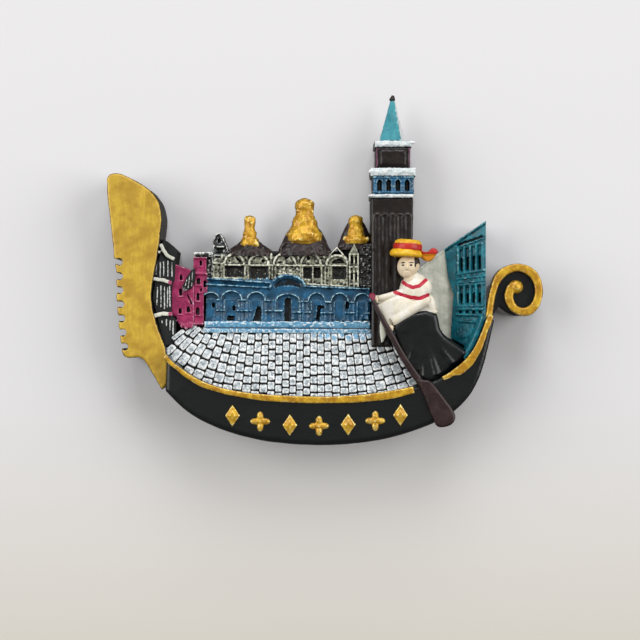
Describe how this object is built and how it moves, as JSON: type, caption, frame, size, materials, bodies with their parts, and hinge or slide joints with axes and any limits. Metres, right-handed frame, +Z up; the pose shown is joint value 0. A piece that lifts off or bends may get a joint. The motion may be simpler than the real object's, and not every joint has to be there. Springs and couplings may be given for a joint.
{
  "type": "souvenir figurine magnet",
  "caption": "Small cast resin fridge magnet: a black gondola hull that carries a painted town square in relief, with a gilt bow iron, curled stern, bell tower and leaning oarsman.",
  "frame": {"origin": "middle of the magnet's flat face, in the plane of the surface that the magnet sticks to", "axes": "+Y out of the magnet's face, towards the surface that it sticks to; the painted relief faces -Y; +Z up; +X to the right as seen from the front, towards the curled stern"},
  "size_m": [0.0886, 0.0162, 0.0711],
  "materials": {
    "black_gloss_paint": "glossy black paint over cast resin",
    "gold_paint": "satin metallic gold paint over cast resin, brushed by hand",
    "stone_paving_paint": "silver-white dry-brushed over black, so that the joints stay dark",
    "blue_facade_paint": "satin blue paint, pale on the raised edges",
    "grey_facade_paint": "stone grey dry-brushed over black",
    "dark_brown_paint": "satin dark brown paint",
    "pink_paint": "satin pink paint, pale on the raised edges",
    "teal_paint": "satin teal paint, pale on the raised edges",
    "cream_paint": "off-white paint, thin in places",
    "white_paint": "white paint laid thickly on the ledges",
    "skin_paint": "matt flesh paint",
    "yellow_paint": "satin yellow paint",
    "red_paint": "satin red paint",
    "oar_brown_paint": "satin red-brown paint",
    "ferrite_magnet": "dark grey sintered ferrite",
    "clear_glue": "dried two-part glue"
  },
  "bodies": {
    "root": {"backing_plate": "black_gloss_paint", "bow_iron": "gold_paint", "brick_house": "dark_brown_paint", "church_lower_front": "blue_facade_paint", "church_pinnacle": "grey_facade_paint", "church_steps": "blue_facade_paint", "church_turret": "grey_facade_paint", "church_upper_front": "grey_facade_paint", "cream_gable_wall": "cream_paint", "dark_palace": "black_gloss_paint", "dome_centre": "dark_brown_paint", "dome_left": "dark_brown_paint", "dome_right": "dark_brown_paint", "gunwale_trim_bow": "gold_paint", "gunwale_trim_stern": "gold_paint", "hat_band": "red_paint", "hat_ribbon": "red_paint", "hull": "black_gloss_paint", "hull_ornament_1": "gold_paint", "hull_ornament_2": "gold_paint", "hull_ornament_3": "gold_paint", "hull_ornament_4": "gold_paint", "hull_ornament_5": "gold_paint", "hull_ornament_6": "gold_paint", "hull_ornament_7": "gold_paint", "lantern_centre": "gold_paint", "lantern_left": "gold_paint", "lantern_right": "gold_paint", "magnet_disc": "ferrite_magnet", "magnet_glue": "clear_glue", "oar": "oar_brown_paint", "oarsman_far_arm": "white_paint", "oarsman_head": "skin_paint", "oarsman_near_arm": "white_paint", "oarsman_robe": "black_gloss_paint", "oarsman_torso": "white_paint", "paving": "stone_paving_paint", "pink_house_low": "pink_paint", "pink_house_roof": "grey_facade_paint", "pink_house_tall": "pink_paint", "stern_scroll_band": "gold_paint", "stern_scroll_core": "black_gloss_paint", "straw_hat_brim": "yellow_paint", "straw_hat_crown": "yellow_paint", "teal_palace": "teal_paint", "tower_attic": "dark_brown_paint", "tower_belfry": "blue_facade_paint", "tower_eaves": "white_paint", "tower_finial": "dark_brown_paint", "tower_lower_cornice": "white_paint", "tower_shaft": "dark_brown_paint", "tower_spire": "teal_paint", "tower_upper_cornice": "white_paint"}
  },
  "joints": []
}
